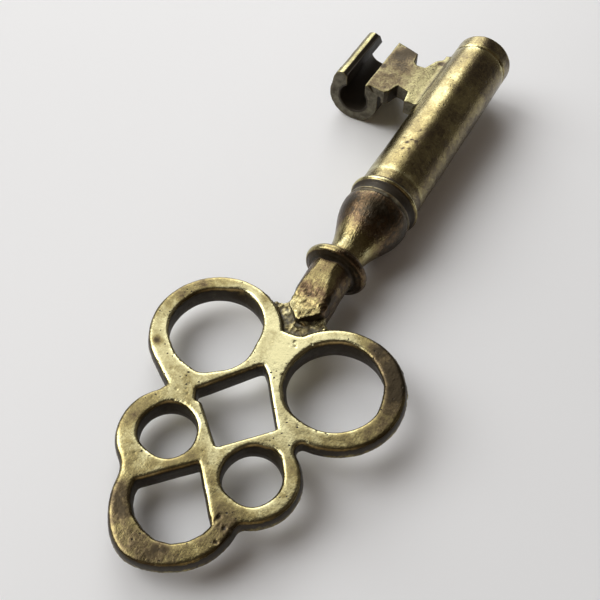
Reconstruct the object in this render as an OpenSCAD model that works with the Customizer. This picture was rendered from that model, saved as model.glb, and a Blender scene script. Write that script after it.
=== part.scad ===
// Cast brass key whose barrel is a pull-off sheath over a corkscrew.
// The key is drawn with its axis along X: the bow at -X, the barrel end at +X,
// the bit towards +Y and the bow's flat face up.

/* [Bow] */
// Thickness of the bow plate
bow_t = 4.4; // [4:0.1:5]
// Distance of each large ring's centre from the key's axis
ring_y = 13.9; // [13.7:0.1:14.1]
// Radius of the hole in a large ring
ring_hole_r = 9.7; // [9:0.1:10]
// Outer radius of a large ring
ring_r = 13.6; // [13.3:0.1:13.6]
// How far the small rings' centres lie behind the large ones
small_back = 24; // [23.5:0.1:24.2]
// Distance of each small ring's centre from the key's axis
small_y = 9.35; // [9:0.05:9.6]
// Radius of the hole in a small ring
small_hole_r = 5.65; // [5:0.05:5.8]
// Outer radius of a small ring
small_r = 9; // [8.6:0.1:9.2]
// How far the end lobe's centre lies behind the large rings
lobe_back = 34.5; // [34:0.1:35]
// Outer radius of the end lobe
lobe_r = 11.9; // [11.5:0.1:12.3]
// Radius of the round end of the D-shaped hole
d_hole_r = 8.1; // [7.5:0.1:8.4]
// How far the D-shaped hole's point lies behind the large rings
d_point_back = 26.5; // [26.2:0.1:27]
// How far the diamond hole's front corner lies behind the large rings
diamond_front = 3; // [2.8:0.1:3.5]
// How far the diamond hole's rear corner lies behind the large rings
diamond_rear = 22; // [21:0.1:22]
// How far the diamond hole's side corners lie behind the large rings
diamond_side = 13.9; // [13.5:0.1:14.2]
// Half the diamond hole's width across its side corners
diamond_half_w = 8.9; // [8:0.1:8.9]
// Radius filed into the notch between a large and a small ring
notch_fillet = 1.5; // [1.2:0.1:3]
// Radius of the left waist, between the small ring and the lobe
waist_fillet_left = 6; // [2:0.5:8]
// Radius of the right waist, which was filed sharper
waist_fillet_right = 2; // [1.5:0.5:8]
// Radius of the crotch between the large rings, where the shank joins
crotch_fillet = 3; // [2.5:0.1:5.5]
// Thickness of the sunken web in the crotch
web_t = 2.4; // [2:0.1:3]
// How far the web reaches ahead of the large rings
web_reach = 13.9; // [13.5:0.1:14.5]

/* [Shank] */
// Width of the sunken channel between the rings and the shank's end
channel_w = 2.8; // [2.4:0.1:3.2]
// Stem radius at the bow
stem_r_bow = 4.2; // [4:0.1:4.5]
// Stem radius at the collar
stem_r_collar = 4.95; // [4.6:0.05:5.1]
// Height of the filed flat above the axis
flat_h = 3.85; // [3.7:0.05:4.1]
// Sideways lean of the filed flat, in degrees
flat_lean = 8; // [0:1:12]
// How far the collar's middle lies ahead of the large rings
collar_x = 27.3; // [27:0.1:27.6]
// Collar radius
collar_r = 7.6; // [7.3:0.1:7.8]
// Collar width along the axis
collar_w = 3.2; // [2.8:0.1:3.4]
// Radius of the baluster's neck
neck_r = 4.1; // [3.9:0.1:4.3]
// Radius of the baluster at its fullest
baluster_r = 8; // [7.8:0.05:8.2]
// How far the baluster's fullest point lies ahead of the large rings
baluster_x = 44.6; // [44.2:0.1:45]
// How far the shoulder, where the key parts, lies ahead of the large rings
shoulder_x = 46.5; // [46.2:0.1:47]
// Radius of the rim at the shoulder
shoulder_r = 7.85; // [7.6:0.05:8]
// Radius of the tang that holds the bow in the shank
tang_r = 2; // [1.5:0.1:2.4]

/* [Spigot] */
// Radius of the plug that the sheath slides on
spigot_r = 5.7; // [5.5:0.05:5.7]
// Length of the plug ahead of the shoulder
spigot_l = 7.5; // [6:0.1:9]
// Radius of the spigot's stub, which is set in the shank
stub_r = 4; // [3.5:0.1:4.5]
// Length of the stub
stub_l = 9; // [7:0.5:10]
// Radius of the pin through the spigot and the corkscrew
pin_r = 0.75; // [0.6:0.05:0.9]

/* [Corkscrew] */
// Radius of the steel wire
wire_r = 1.35; // [1.2:0.05:1.5]
// Radius of the helix, to the middle of the wire
helix_r = 2.85; // [2.6:0.05:3]
// Distance between turns
worm_pitch = 9.4; // [9:0.1:10]
// Number of turns
worm_turns = 4.5; // [4:0.25:4.75]

/* [Sheath] */
// Outer radius of the barrel
barrel_r = 7.5; // [7.4:0.05:7.6]
// Radius of the bore, a running fit on the spigot
bore_r = 5.75; // [5.75:0.01:5.8]
// How far the barrel's end lies ahead of the large rings
end_x = 109.1; // [108.8:0.1:110]
// Length of the end cap that shows
cap_l = 5.1; // [4:0.1:6]
// Radius worn on the end cap's rim
cap_edge_r = 0.9; // [0.5:0.1:1.2]
// Depth of the line round the end cap's joint
cap_line = 0.2; // [0.1:0.05:0.3]
// Largest radius of the mouth ring
mouth_r = 8.45; // [8.4:0.05:8.5]
// Length of the mouth ring
mouth_l = 7; // [6:0.1:8]

/* [Bit] */
// How far the bit's near end lies ahead of the large rings
bit_x = 80.2; // [79.5:0.1:81]
// Length of the bit along the axis
bit_l = 20; // [19:0.1:20.4]
// Height of the bit plate's upper face above the axis
bit_top = 3.9; // [3.6:0.1:4.1]
// Thickness of the bit plate
bit_t = 4; // [3.6:0.1:4.4]
// Thickness of the plate's head, where it stands free of the jaw
head_t = 2.4; // [2.2:0.1:2.8]
// Length of the jaw along the axis
jaw_l = 19; // [18:0.1:20]
// Distance of the jaw's centre from the key's axis
jaw_y = 24; // [23.8:0.1:24.2]
// Outer radius of the jaw
jaw_r = 6.8; // [6.6:0.05:6.9]
// Radius of the jaw's round channel
jaw_hole_r = 3.8; // [3.6:0.1:4]
// Width of the slot that opens the channel upwards
slot_w = 5.1; // [4.8:0.1:5.3]

/* [Hidden] */

// Facets of a full circle
round_fn = 96;
// Overshoot that lets a cut run past a face
over = 1;
// Gap between faces that move past each other
run_gap = 0.05;

// The jaw's centre is set so that jaw and mouth ring stand on one level
jaw_z = jaw_r - mouth_r;

// Box of the whole key, and the middle of its foot, which is the part's origin
low_x = -(lobe_back + lobe_r);
low_y = -(ring_y + ring_r);
high_y = jaw_y + jaw_r;
foot = [(low_x + end_x) / 2, (low_y + high_y) / 2, -mouth_r];

// Places on the bow
ring_centre = [0, ring_y];
small_centre = [-small_back, small_y];
lobe_centre = [-lobe_back, 0];

// Places along the shank
stem_end_x = collar_x - collar_w / 2;
neck_x = collar_x + collar_w / 2 + 1.6;
rim_w = 0.4;
tang_end_x = 22;
stub_end_x = shoulder_x - stub_l;
plug_end_x = shoulder_x + spigot_l;
plug_chamfer = 0.5;

// Places along the sheath
mouth_x = shoulder_x + run_gap;
mouth_end_x = mouth_x + mouth_l;
seat_x = mouth_end_x - mouth_l / 2;
seat_r = (barrel_r + bore_r) / 2 + 0.2;
cap_x = end_x - cap_l;
cap_plug_l = 3;

// Places along the corkscrew
shank_start_x = shoulder_x - 4.5;
helix_start_x = plug_end_x;
pin_x = shoulder_x + spigot_l / 2;
pin_recess = 0.2;

// The mirror image of a point on the other side of the axis
function across(p) = [p[0], -p[1]];

// Centre of an arc of radius f that touches two circles, on the left of the line a to b
function arc_centre(a, ra, b, rb, f) =
    let (d = norm(b - a),
         u = (b - a) / d,
         along = ((ra + f) * (ra + f) - (rb + f) * (rb + f) + d * d) / (2 * d),
         aside = sqrt((ra + f) * (ra + f) - along * along))
    a + along * u + aside * [-u[1], u[0]];

// Moves a piece from the key's own axes to the part's origin
module place() {
    translate(-foot) children();
}

// Turns an outline of [radius, distance along the axis] round the key's axis
module turned(outline) {
    rotate([0, 90, 0])
        rotate_extrude($fn = round_fn)
            polygon(outline);
}

// A round bar along the key's axis
module bar(r, from_x, to_x) {
    translate([from_x, 0, 0])
        rotate([0, 90, 0])
            cylinder(r = r, h = to_x - from_x, $fn = round_fn);
}

// A hole straight down through the bow
module bow_hole(centre, r) {
    translate([centre[0], centre[1], -bow_t / 2 - over])
        cylinder(r = r, h = bow_t + 2 * over, $fn = round_fn);
}

// The fillet between two circles, on the left of the line a to b
module fillet(a, ra, b, rb, f) {
    c = arc_centre(a, ra, b, rb, f);
    difference() {
        polygon([a, b, c]);
        translate(c) circle(r = f, $fn = round_fn);
    }
}

// The bow's outline, without its holes
module bow_outline() {
    for (s = [1, -1]) {
        translate([0, s * ring_y]) circle(r = ring_r, $fn = round_fn);
        translate([-small_back, s * small_y]) circle(r = small_r, $fn = round_fn);
    }
    translate(lobe_centre) circle(r = lobe_r, $fn = round_fn);
    polygon([ring_centre, small_centre, lobe_centre, across(small_centre), across(ring_centre)]);
    fillet(small_centre, small_r, ring_centre, ring_r, notch_fillet);
    fillet(across(ring_centre), ring_r, across(small_centre), small_r, notch_fillet);
    fillet(lobe_centre, lobe_r, small_centre, small_r, waist_fillet_left);
    fillet(across(small_centre), small_r, lobe_centre, lobe_r, waist_fillet_right);
    fillet(ring_centre, ring_r, across(ring_centre), ring_r, crotch_fillet);
}

// The sunken web that fills the crotch, drawn in to the stem by a round corner on each side
module web_outline() {
    corner_r = 2;
    corner_y = stem_r_bow + corner_r;
    reach = ring_r + corner_r;
    corner_x = sqrt(reach * reach - (ring_y - corner_y) * (ring_y - corner_y));
    difference() {
        translate([0, -ring_y / 2]) square([min(web_reach, corner_x), ring_y]);
        for (s = [1, -1]) translate([corner_x, s * corner_y]) circle(r = corner_r, $fn = round_fn);
    }
}

// Everything in front of the shank's end face, which follows the rings at the channel's width
module channel() {
    for (s = [1, -1])
        translate([0, s * ring_y, -barrel_r])
            cylinder(r = ring_r + channel_w, h = 2 * barrel_r, $fn = round_fn);
}

module web() {
    translate([0, 0, -web_t / 2]) linear_extrude(web_t) web_outline();
}

module bow() {
    color("darkkhaki") place()
        difference() {
            union() {
                translate([0, 0, -bow_t / 2]) linear_extrude(bow_t) bow_outline();
                web();
                bar(tang_r, over, tang_end_x);
            }
            for (s = [1, -1]) {
                bow_hole([0, s * ring_y], ring_hole_r);
                bow_hole([-small_back, s * small_y], small_hole_r);
            }
            diamond_hole();
            d_hole();
        }
}

module diamond_hole() {
    translate([0, 0, -bow_t / 2 - over])
        linear_extrude(bow_t + 2 * over)
            polygon([[-diamond_front, 0], [-diamond_side, diamond_half_w],
                     [-diamond_rear, 0], [-diamond_side, -diamond_half_w]]);
}

// A round hole whose front is cut to a right-angled point
module d_hole() {
    side = 2 * d_hole_r;
    intersection() {
        bow_hole(lobe_centre, d_hole_r);
        translate([-d_point_back, 0, -bow_t])
            linear_extrude(2 * bow_t)
                polygon([[0, 0], [-side, side], [-side, -side]]);
    }
}

// Radius of the baluster at a distance along the axis: half a wave from the neck to the fullest point
function baluster_at(x) =
    neck_r + (baluster_r - neck_r) * (1 - cos(180 * (x - neck_x) / (baluster_x - neck_x))) / 2;

module shank() {
    rim_steps = 8;
    wave_steps = 14;
    half_w = collar_w / 2;
    collar_round = [for (i = [0 : rim_steps])
        let (a = 180 * i / rim_steps)
        [collar_r - half_w * (1 - sin(a)), collar_x - half_w * cos(a)]];
    wave = [for (i = [0 : wave_steps])
        let (x = neck_x + (baluster_x - neck_x) * i / wave_steps)
        [baluster_at(x), x]];
    outline = concat(
        [[0, 0], [stem_r_bow, 0], [stem_r_bow, stem_end_x / 2], [stem_r_collar, stem_end_x]],
        collar_round,
        wave,
        [[shoulder_r - rim_w / 2, shoulder_x - 2 * rim_w], [shoulder_r, shoulder_x - rim_w],
         [shoulder_r, shoulder_x], [0, shoulder_x]]);
    color("darkgoldenrod") place()
        difference() {
            turned(outline);
            channel();
            web();
            bar(tang_r, 0, tang_end_x);
            bar(stub_r, stub_end_x, shoulder_x + over);
            // The flat runs from the bow to just short of the collar
            rotate([-flat_lean, 0, 0])
                translate([0, -barrel_r, flat_h])
                    cube([stem_end_x - over, 2 * barrel_r, barrel_r]);
        }
}

module pin_bar(r, half_l) {
    translate([pin_x, 0, -half_l]) cylinder(r = r, h = 2 * half_l, $fn = round_fn);
}

module spigot() {
    color("khaki") place()
        difference() {
            turned([[0, stub_end_x], [stub_r, stub_end_x], [stub_r, shoulder_x],
                    [spigot_r, shoulder_x], [spigot_r, plug_end_x - plug_chamfer],
                    [spigot_r - plug_chamfer, plug_end_x], [0, plug_end_x]]);
            bar(wire_r, shank_start_x, plug_end_x + over);
            pin_bar(pin_r, spigot_r + over);
        }
}

// The wire leaves the axis over its first turn and comes to a point over its last
worm_sides = 8;
worm_steps_per_turn = 12;
worm_steps = worm_turns * worm_steps_per_turn;
swell_turns = 0.8;
taper_turns = 0.9;
tip_r = 0.2;

// Ease from 0 to 1 with no corner at either end
function ease(t) = let (c = min(max(t, 0), 1)) c * c * (3 - 2 * c);

// Centre of the wire after a number of turns
function worm_point(turn) =
    let (r = helix_r * ease(turn / swell_turns))
    [helix_start_x + worm_pitch * turn, r * cos(360 * turn), r * sin(360 * turn)];

// Radius of the wire after a number of turns
function worm_wire_r(turn) =
    max(tip_r, wire_r * min(1, (worm_turns - turn) / taper_turns));

// One ring of points round the wire
function worm_ring(turn) =
    let (d = 0.01,
         step = worm_point(turn + d) - worm_point(turn - d),
         ahead = step / norm(step),
         spoke = [0, cos(360 * turn), sin(360 * turn)],
         side_raw = cross(ahead, spoke),
         side = side_raw / norm(side_raw),
         out = cross(side, ahead))
    [for (k = [0 : worm_sides - 1])
        let (a = 360 * k / worm_sides)
        worm_point(turn) + worm_wire_r(turn) * (cos(a) * out + sin(a) * side)];

// The least gap between two stretches of wire half a turn or more apart
worm_gap = min([for (i = [0 : worm_steps], j = [i + worm_steps_per_turn / 2 : worm_steps])
    if (j <= worm_steps)
        norm(worm_point(i / worm_steps_per_turn) - worm_point(j / worm_steps_per_turn)) - 2 * wire_r]);
echo(worm_least_gap_mm = worm_gap);

module worm() {
    rings = [for (i = [0 : worm_steps]) each worm_ring(i / worm_steps_per_turn)];
    n = worm_sides;
    walls = [for (i = [0 : worm_steps - 1], k = [0 : n - 1])
        let (a = i * n + k, b = i * n + (k + 1) % n)
        each [[a, a + n, b], [b, a + n, b + n]]];
    near_end = [for (k = [1 : n - 2]) [0, k, k + 1]];
    last = worm_steps * n;
    far_end = [for (k = [1 : n - 2]) [last, last + k + 1, last + k]];
    polyhedron(points = rings, faces = concat(walls, near_end, far_end));
}

module corkscrew() {
    color("silver") place()
        difference() {
            union() {
                bar(wire_r, shank_start_x, helix_start_x + run_gap);
                worm();
            }
            pin_bar(pin_r, 2 * wire_r);
        }
}

module corkscrew_pin() {
    color("gray") place() pin_bar(pin_r, spigot_r - pin_recess);
}

module mouth_ring() {
    // A short flare, a round bead and a long slope down to the barrel
    bead_r = 1.3;
    bead_x = mouth_x + 2.7;
    bead_steps = 8;
    bead = [for (i = [0 : bead_steps])
        let (a = 150 - 110 * i / bead_steps)
        [mouth_r - bead_r + bead_r * sin(a), bead_x + bead_r * cos(a)]];
    outline = concat(
        [[bore_r, mouth_x], [shoulder_r + 0.05, mouth_x]],
        bead,
        [[barrel_r + 0.18, mouth_end_x - 1.6], [barrel_r, mouth_end_x],
         [seat_r, mouth_end_x], [seat_r, seat_x], [bore_r, seat_x]]);
    color("goldenrod") place() turned(outline);
}

module barrel() {
    color("goldenrod") place()
        turned([[bore_r, seat_x], [seat_r, seat_x], [seat_r, mouth_end_x], [barrel_r, mouth_end_x],
                [barrel_r, cap_x - cap_line], [barrel_r - cap_line, cap_x], [bore_r, cap_x]]);
}

module end_cap() {
    edge_steps = 6;
    edge = [for (i = [0 : edge_steps])
        let (a = 90 * i / edge_steps)
        [barrel_r - cap_edge_r * (1 - cos(a)), end_x - cap_edge_r * (1 - sin(a))]];
    outline = concat(
        [[0, cap_x - cap_plug_l], [bore_r, cap_x - cap_plug_l], [bore_r, cap_x],
         [barrel_r - cap_line, cap_x], [barrel_r, cap_x + cap_line]],
        edge,
        [[0, end_x]]);
    color("peru") place() turned(outline);
}

// Plan of the bit plate: a base on the barrel, a neck between two notches, and a head
bit_end_x = bit_x + bit_l;
base_y = 9.8;
neck_y = 13.9;
head_y = 15.6;
slot_far_y = jaw_y + slot_w / 2 - 0.55;
slot_near_y = slot_far_y - slot_w;
module bit_plan() {
    polygon([
        [bit_x - 0.4, 0], [bit_x - 0.5, base_y],
        [bit_x + 3.2, base_y + 0.7], [bit_x + 4.1, neck_y - 0.3],
        [bit_x + 0.8, head_y - 1], [bit_x, head_y],
        [bit_x + 0.7, slot_near_y], [bit_end_x, slot_near_y],
        [bit_end_x - 2, head_y - 1.2], [bit_end_x - 5.2, neck_y - 0.1],
        [bit_end_x - 6.4, neck_y - 1.2], [bit_end_x - 6.3, base_y + 0.8],
        [bit_end_x - 2.4, base_y - 0.6], [bit_end_x - 0.9, base_y - 2.2],
        [bit_end_x + 0.8, barrel_r - 1.3], [bit_end_x + 1, 0]]);
}

// Section of the jaw, in Y and Z: a thick round wall, the plate's root and a raised lip
module jaw_section() {
    root_z = bit_top - head_t;
    lip_z = bit_top + 1.5;
    difference() {
        union() {
            translate([jaw_y, jaw_z]) circle(r = jaw_r, $fn = round_fn);
            // The root between the plate's head and the round wall
            polygon([[jaw_y - jaw_r, jaw_z], [jaw_y - jaw_r, root_z + over],
                     [slot_near_y, root_z + over], [jaw_y, jaw_z]]);
            // The lip, which stands a little above the plate
            polygon([[jaw_y, jaw_z], [slot_far_y, root_z], [slot_far_y + 1, lip_z],
                     [slot_far_y + 2, lip_z], [slot_far_y + 3.1, lip_z - 0.7],
                     [jaw_y + jaw_r - 0.9, bit_top - 0.9], [jaw_y + jaw_r, jaw_z]]);
        }
        translate([jaw_y, jaw_z]) circle(r = jaw_hole_r, $fn = round_fn);
        translate([slot_near_y, jaw_z]) square([slot_w, 2 * jaw_r]);
        translate([jaw_y - 2 * jaw_r, bit_top]) square([slot_far_y - jaw_y + 2 * jaw_r, jaw_r]);
    }
}

module bit() {
    color("palegoldenrod") place()
        difference() {
            union() {
                translate([0, 0, bit_top - bit_t])
                    linear_extrude(bit_t)
                        intersection() {
                            bit_plan();
                            translate([bit_x - bit_l, 0]) square([3 * bit_l, head_y + 0.9]);
                        }
                translate([0, 0, bit_top - head_t]) linear_extrude(head_t) bit_plan();
                translate([bit_x, 0, 0])
                    rotate([90, 0, 90])
                        linear_extrude(jaw_l) jaw_section();
            }
            bar(barrel_r, bit_x - bit_l, end_x);
        }
}

bow();
shank();
spigot();
corkscrew();
corkscrew_pin();
mouth_ring();
barrel();
bit();
end_cap();
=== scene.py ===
"""Looks of an old cast-brass key whose barrel is a pull-off sheath over a corkscrew.

Every piece is drawn in the key's own millimetres: the axis along X, the bow at -X, the bit towards +Y and the
bow's flat face up. `Piece.settle` then moves it to the frame's metres.
"""

import logging
import math
import random
from collections.abc import Callable, Iterable, Sequence
from dataclasses import dataclass
from enum import Enum
from functools import partial

import bmesh
import bpy
import numpy as np
from mathutils import Matrix, Vector, kdtree, noise


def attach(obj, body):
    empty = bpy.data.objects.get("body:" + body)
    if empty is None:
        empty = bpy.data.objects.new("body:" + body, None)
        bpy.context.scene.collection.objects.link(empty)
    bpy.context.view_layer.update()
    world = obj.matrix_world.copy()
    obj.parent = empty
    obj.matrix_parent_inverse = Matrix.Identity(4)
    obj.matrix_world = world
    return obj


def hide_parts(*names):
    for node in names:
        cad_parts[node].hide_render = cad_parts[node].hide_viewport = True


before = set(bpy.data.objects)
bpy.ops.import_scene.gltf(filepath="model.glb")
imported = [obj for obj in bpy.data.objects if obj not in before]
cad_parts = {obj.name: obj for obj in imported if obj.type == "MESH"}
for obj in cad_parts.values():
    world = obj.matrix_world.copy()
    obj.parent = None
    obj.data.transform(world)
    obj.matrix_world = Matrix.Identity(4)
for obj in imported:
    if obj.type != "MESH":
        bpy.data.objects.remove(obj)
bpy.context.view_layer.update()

LOG = logging.getLogger("key")
MM = 0.001
# Where the frame's origin lies on the key, in the key's millimetres: the middle of the foot of its box
FOOT = Vector((31.35, 1.65, -8.45))
TO_FRAME = Matrix.Scale(MM, 4) @ Matrix.Translation(-FOOT)

Point = tuple[float, float]
Loop = list[Point]
Settings = dict[str, object]
BMesh, BMVert, BMEdge = bmesh.types.BMesh, bmesh.types.BMVert, bmesh.types.BMEdge

# Divisions round everything that was turned on a lathe
LATHE_STEPS = 160
# Rounds of averaging that tell an edge from a hollow
RELIEF_ROUNDS = 14
# Corners sharper than this many degrees break the shading
SHARP_CORNER = 48.0


class Body(Enum):
    """The frame's bodies that the pieces ride on."""

    HANDLE = "handle"
    MOUTH = "mouth"
    SHEATH = "sheath"


def polar(centre: Point, radius: float, degrees: float) -> Point:
    """The point at an angle and distance from a centre."""
    turn = math.radians(degrees)
    return centre[0] + radius * math.cos(turn), centre[1] + radius * math.sin(turn)


def oval(centre: Point, radii: Point, start: float, end: float, steps: int) -> Loop:
    """Points along an upright ellipse.

    Args:
        centre: the ellipse's centre.
        radii: its half width and half height in mm.
        start: the angle that it starts at, in degrees.
        end: the angle that it ends at; smaller than start for a clockwise run.
        steps: the steps from start to end.

    Returns:
        The points, with both ends.
    """
    turns = [math.radians(start + (end - start) * i / steps) for i in range(steps + 1)]
    return [(centre[0] + radii[0] * math.cos(turn), centre[1] + radii[1] * math.sin(turn)) for turn in turns]


def arc(centre: Point, radius: float, start: float, end: float, gap: float = 0.6) -> Loop:
    """Points along an arc.

    Args:
        centre: the arc's centre.
        radius: its radius in mm.
        start: the angle that it starts at, in degrees.
        end: the angle that it ends at; smaller than start for a clockwise arc.
        gap: the distance between points in mm.

    Returns:
        The points, with both ends.
    """
    steps = max(2, round(abs(math.radians(end - start)) * radius / gap))
    return oval(centre, (radius, radius), start, end, steps)


def bearing(centre: Point, point: Point) -> float:
    """The angle of a point seen from a centre, in degrees."""
    return math.degrees(math.atan2(point[1] - centre[1], point[0] - centre[0]))


def fillet_centre(a: Point, ra: float, b: Point, rb: float, radius: float) -> Point:
    """The centre of an arc that touches two circles, on the right of the line from a to b.

    Args:
        a: the first circle's centre.
        ra: its radius.
        b: the second circle's centre.
        rb: its radius.
        radius: the arc's radius.

    Returns:
        The arc's centre.
    """
    reach = math.dist(a, b)
    ux, uy = (b[0] - a[0]) / reach, (b[1] - a[1]) / reach
    along = ((ra + radius) ** 2 - (rb + radius) ** 2 + reach**2) / (2 * reach)
    aside = math.sqrt((ra + radius) ** 2 - along**2)
    return a[0] + along * ux + aside * uy, a[1] + along * uy - aside * ux


def evenly(loop: Loop, count: int) -> Loop:
    """A closed loop again, as a given number of points at even distances along it."""
    closed = np.array([*loop, loop[0]])
    reach = np.concatenate(([0], np.cumsum(np.linalg.norm(np.diff(closed, axis=0), axis=1))))
    at = np.linspace(0, reach[-1], count, endpoint=False)
    return list(zip(np.interp(at, reach, closed[:, 0]), np.interp(at, reach, closed[:, 1])))


def grown(loop: Loop, by: float) -> Loop:
    """A closed anticlockwise loop moved outwards by a distance, or inwards where it is negative."""
    points = np.array(loop)
    along = np.roll(points, -1, axis=0) - np.roll(points, 1, axis=0)
    along /= np.linalg.norm(along, axis=1)[:, None]
    return [tuple(p) for p in points + by * np.stack((along[:, 1], -along[:, 0]), axis=1)]


def between(a: Loop, b: Loop, share: float) -> Loop:
    """A loop part of the way from loop a to loop b, point by point."""
    return [tuple(p) for p in np.array(a) * (1 - share) + np.array(b) * share]


@dataclass(frozen=True)
class Swell:
    """A place on a round edge where the file or the casting left it wider or narrower."""

    bearing: float
    depth: float
    width: float = 20.0

    def at(self, degrees: float) -> float:
        """How much wider the edge is at an angle."""
        off = (degrees - self.bearing + 180) % 360 - 180
        return self.depth * math.exp(-((off / self.width) ** 2))


def worn_round(centre: Point, radius: float, swells: Iterable[Swell], count: int) -> Loop:
    """A circle with its swells, as points.

    Args:
        centre: the hole's centre.
        radius: its radius without the swells.
        swells: where it is wider or narrower.
        count: the number of points.

    Returns:
        The loop.
    """
    turns = [360 * i / count for i in range(count)]
    return [polar(centre, radius + sum(swell.at(turn) for swell in swells), turn) for turn in turns]


def mesh_of(bm: BMesh, name: str) -> bpy.types.Mesh:
    """A mesh that holds a drawn shape; the drawing is freed."""
    mesh = bpy.data.meshes.new(name)
    bm.to_mesh(mesh)
    bm.free()
    return mesh


def linked(name: str, data: bpy.types.ID) -> bpy.types.Object:
    """A new object, put in the scene."""
    thing = bpy.data.objects.new(name, data)
    bpy.context.scene.collection.objects.link(thing)
    return thing


def drawn_out(bm: BMesh, edges: list[BMEdge]) -> tuple[list[BMVert], list[BMEdge]]:
    """Extrudes edges where they are, and gives the new points and the new edges between them."""
    made = bmesh.ops.extrude_edge_only(bm, edges=edges)["geom"]
    verts = [v for v in made if isinstance(v, BMVert)]
    fresh = set(verts)
    return verts, [e for e in made if isinstance(e, BMEdge) and set(e.verts) <= fresh]


def wall(bm: BMesh, levels: Sequence[tuple[float, Loop]]) -> tuple[list, list]:
    """Draws a loop and extrudes it through its further levels.

    Args:
        bm: the mesh.
        levels: each level's height and loop; every loop has as many points.

    Returns:
        The edges of the first and of the last level.
    """
    z, loop = levels[0]
    verts = [bm.verts.new((x, y, z)) for x, y in loop]
    edges = [bm.edges.new((verts[i - 1], verts[i])) for i in range(len(verts))]
    first = edges
    for z, loop in levels[1:]:
        made, edges = drawn_out(bm, edges)
        fresh = set(made)
        verts = [next(e.other_vert(v) for e in v.link_edges if e.other_vert(v) in fresh) for v in verts]
        for vert, (x, y) in zip(verts, loop):
            vert.co = (x, y, z)
    return first, edges


def prism(bm: BMesh, section: Loop, start: float, end: float) -> None:
    """Adds a bar along X.

    Args:
        bm: the mesh.
        section: its section in Y and Z.
        start: where it starts along X.
        end: where it ends.
    """
    face = bm.faces.new([bm.verts.new((start, y, z)) for y, z in section])
    made = bmesh.ops.extrude_face_region(bm, geom=[face], use_keep_orig=True)["geom"]
    far_end = [v for v in made if isinstance(v, BMVert)]
    bmesh.ops.translate(bm, vec=(end - start, 0, 0), verts=far_end)


def slab(bm: BMesh, outline: Loop, low: float, high: float) -> None:
    """Adds a flat plate with its outline in X and Y, between two heights."""
    first, last = wall(bm, [(low, outline), (high, outline)])
    bmesh.ops.contextual_create(bm, geom=first)
    bmesh.ops.contextual_create(bm, geom=last)


def turned(outline: Sequence[Point], gap: float) -> BMesh:
    """Turns an outline about the key's axis, as on a lathe.

    Args:
        outline: points of distance along the axis and radius, from axis to axis or closed.
        gap: the longest distance between rings of points, in mm.

    Returns:
        The closed mesh.
    """
    bm = bmesh.new()
    verts = [bm.verts.new((x, 0, r)) for x, r in outline]
    pairs = list(zip(verts, verts[1:]))
    if outline[0][1] > 0:
        pairs.append((verts[-1], verts[0]))
    by_cuts: dict[int, list] = {}
    for pair in pairs:
        edge = bm.edges.new(pair)
        by_cuts.setdefault(math.ceil(edge.calc_length() / gap) - 1, []).append(edge)
    for cuts, edges in by_cuts.items():
        if cuts > 0:
            bmesh.ops.subdivide_edges(bm, edges=edges, cuts=cuts)
    bmesh.ops.spin(bm, geom=bm.verts[:] + bm.edges[:], axis=(1, 0, 0), cent=(0, 0, 0), angle=2 * math.pi,
                   steps=LATHE_STEPS, use_merge=True, use_normal_flip=False, use_duplicate=False)
    bmesh.ops.remove_doubles(bm, verts=bm.verts, dist=1e-4)
    bmesh.ops.recalc_face_normals(bm, faces=bm.faces)
    return bm


def fused(bm: BMesh, voxel: float) -> BMesh:
    """Melts overlapping closed parts into one skin of even small faces.

    Args:
        bm: the mesh, in mm; it is freed.
        voxel: the size of the new faces, in mm.

    Returns:
        The new mesh.
    """
    bmesh.ops.recalc_face_normals(bm, faces=bm.faces)
    mesh = mesh_of(bm, "raw")
    raw = linked("raw", mesh)
    remesh = raw.modifiers.new("skin", "REMESH")
    remesh.mode = "VOXEL"
    remesh.voxel_size = voxel
    remesh.use_smooth_shade = True
    graph = bpy.context.evaluated_depsgraph_get()
    skin = bpy.data.meshes.new_from_object(raw.evaluated_get(graph))
    out = bmesh.new()
    out.from_mesh(skin)
    bpy.data.objects.remove(raw)
    bpy.data.meshes.remove(mesh)
    bpy.data.meshes.remove(skin)
    return out


def eased(bm: BMesh, rounds: int) -> None:
    """Rubs the whole surface smoother."""
    for _ in range(rounds):
        bmesh.ops.smooth_vert(bm, verts=bm.verts, factor=0.5,
                              use_axis_x=True, use_axis_y=True, use_axis_z=True)


def copy_of(node: str) -> BMesh:
    """A merged copy of a CAD node, in the key's millimetres."""
    bm = bmesh.new()
    bm.from_mesh(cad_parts[node].data)
    bmesh.ops.transform(bm, matrix=TO_FRAME.inverted(), verts=bm.verts)
    bmesh.ops.remove_doubles(bm, verts=bm.verts, dist=1e-3)
    return bm


@dataclass(frozen=True)
class Ripple:
    """Unevenness of a cast or hand-worked surface: its size across and its height, in mm."""

    across: float
    height: float
    seed: float = 0.0


def rippled(bm: BMesh, ripples: Iterable[Ripple],
            share: Callable[[Vector], float] | None = None) -> None:
    """Moves the surface in and out along its normals by smooth noise.

    Args:
        bm: the mesh.
        ripples: the noise, coarse and fine.
        share: how much of the noise a place gets, from 0 to 1; all of it where no rule is given.
    """
    bm.normal_update()
    moves = []
    for vert in bm.verts:
        part = share(vert.co) if share else 1.0
        rise = 0.0
        if part > 0:
            for ripple in ripples:
                place = vert.co / ripple.across + Vector((ripple.seed, 0, 0))
                rise += ripple.height * noise.noise(place)
        moves.append(vert.normal * rise * part)
    for vert, move in zip(bm.verts, moves):
        vert.co += move


@dataclass(frozen=True)
class Pit:
    """A small hollow in the casting: its place, its radius and its depth, in mm."""

    x: float
    y: float
    z: float
    radius: float
    depth: float


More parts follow.
